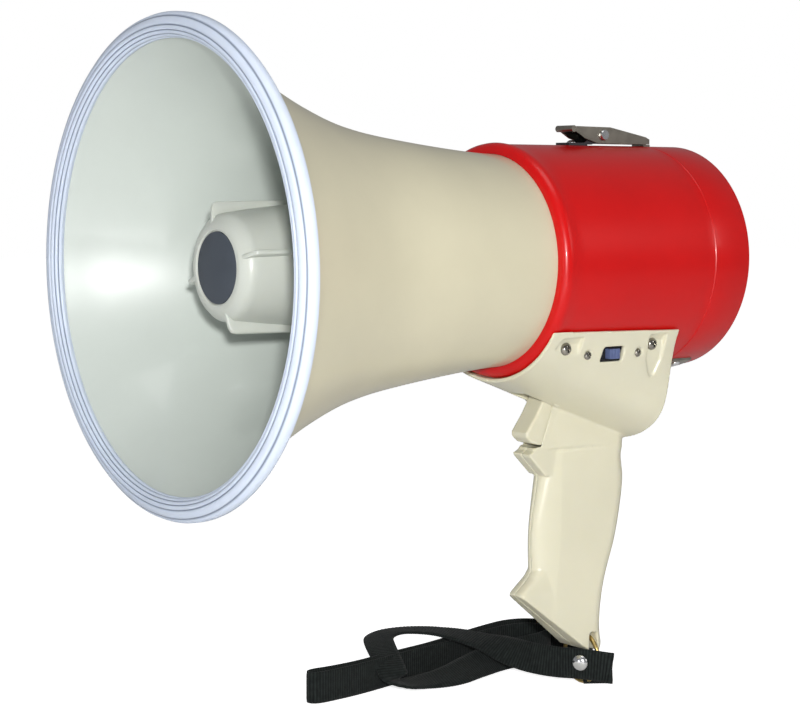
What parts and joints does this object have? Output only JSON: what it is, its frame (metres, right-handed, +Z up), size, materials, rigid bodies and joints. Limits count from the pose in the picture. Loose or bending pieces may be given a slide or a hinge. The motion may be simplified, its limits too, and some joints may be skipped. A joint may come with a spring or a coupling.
{
  "type": "handheld megaphone",
  "caption": "Pistol-grip handheld megaphone with flared bell, central reflector, battery barrel with hinged cap and latch, trigger and wrist strap.",
  "frame": {"origin": "middle of the grip, where the hand holds it", "axes": "+X forward along the horn axis, +Y to the left of the person holding it, +Z up"},
  "size_m": [0.3307, 0.23, 0.3421],
  "materials": {
    "horn_paint": "gloss enamel",
    "trim_pvc": "satin soft PVC",
    "boss_plastic": "satin gloss",
    "disc_slate": "fine matt",
    "red_shell": "high gloss",
    "ivory_shell": "semi gloss",
    "nickel_steel": "nickel plated",
    "bright_steel": "bright zinc",
    "black_plastic": "matt",
    "blue_plastic": "satin",
    "ferrite": "rough",
    "diaphragm_film": "translucent film",
    "seal_rubber": "matt",
    "cell_jacket": "gloss",
    "contact_brass": "plain",
    "board": "solder mask",
    "wire_pvc": "satin",
    "webbing": "ribbed polypropylene webbing"
  },
  "bodies": {
    "housing": {"bell_horn": "horn_paint", "rim_trim": "trim_pvc", "reflector_cup": "boss_plastic", "reflector_disc": "disc_slate", "tone_arm": "boss_plastic", "driver_housing": "black_plastic", "driver_diaphragm": "diaphragm_film", "driver_magnet": "ferrite", "driver_yoke": "nickel_steel", "driver_top_plate": "nickel_steel", "barrel": "red_shell", "hinge_leaf_fixed": "nickel_steel", "hinge_rivets_fixed": "bright_steel", "latch_bracket": "nickel_steel", "latch_foot_rivet": "bright_steel", "latch_rivet": "bright_steel", "latch_spring": "bright_steel", "battery_cells": "cell_jacket", "battery_holder": "black_plastic", "battery_contacts": "contact_brass", "handle_left": "ivory_shell", "handle_right": "ivory_shell", "trigger_pin": "bright_steel", "trigger_spring": "bright_steel", "trigger_switch": "black_plastic", "slide_switch_body": "black_plastic", "saddle_screws_large": "bright_steel", "saddle_screws_small": "bright_steel", "amplifier_board": "board", "wiring": "wire_pvc"},
    "rear_cap": {"rear_cap": "red_shell", "cap_gasket": "seal_rubber", "hinge_leaf_cap": "nickel_steel", "hinge_rivets_cap": "bright_steel", "hinge_pin": "bright_steel", "latch_catch": "nickel_steel", "microphone_capsule": "black_plastic", "microphone_holder": "black_plastic", "volume_control": "nickel_steel", "cap_contact_plate": "contact_brass"},
    "volume_knob": {"volume_knob": "black_plastic"},
    "latch_lever": {"latch_lever": "nickel_steel"},
    "trigger": {"trigger": "ivory_shell"},
    "slide_knob": {"slide_knob": "blue_plastic"},
    "strap": {"split_ring": "nickel_steel", "strap_rivet": "bright_steel", "wrist_strap": "webbing"}
  },
  "joints": [
    {"name": "cap_swing", "type": "hinge", "parent": "housing", "child": "rear_cap", "pos_m": [-0.0436, 0, 0.0778], "axis": [0, -1, 0], "range_deg": [0, 110]},
    {"name": "volume_turn", "type": "hinge", "parent": "rear_cap", "child": "volume_knob", "pos_m": [-0.074, 0, 0.1], "axis": [-1, 0, 0], "range_deg": [0, 270]},
    {"name": "latch_rock", "type": "hinge", "parent": "housing", "child": "latch_lever", "pos_m": [-0.013, 0, 0.2046], "axis": [0, 1, 0], "range_deg": [0, 12], "stiffness_Nm_per_rad": 0.3, "springref_deg": -11.46, "deforming": ["latch_spring"]},
    {"name": "trigger_pull", "type": "hinge", "parent": "housing", "child": "trigger", "pos_m": [0.021, 0, 0.068], "axis": [0, 1, 0], "range_deg": [0, 6], "stiffness_Nm_per_rad": 0.5, "springref_deg": -8.59, "deforming": ["trigger_spring"]},
    {"name": "switch_slide", "type": "slide", "parent": "housing", "child": "slide_knob", "axis": [1, 0, 0], "range_m": [0, 0.0046]},
    {"name": "strap_swing", "type": "hinge", "parent": "housing", "child": "strap", "pos_m": [-0.005, 0, -0.0603], "axis": [0, 1, 0], "range_deg": [-8, 8]}
  ]
}
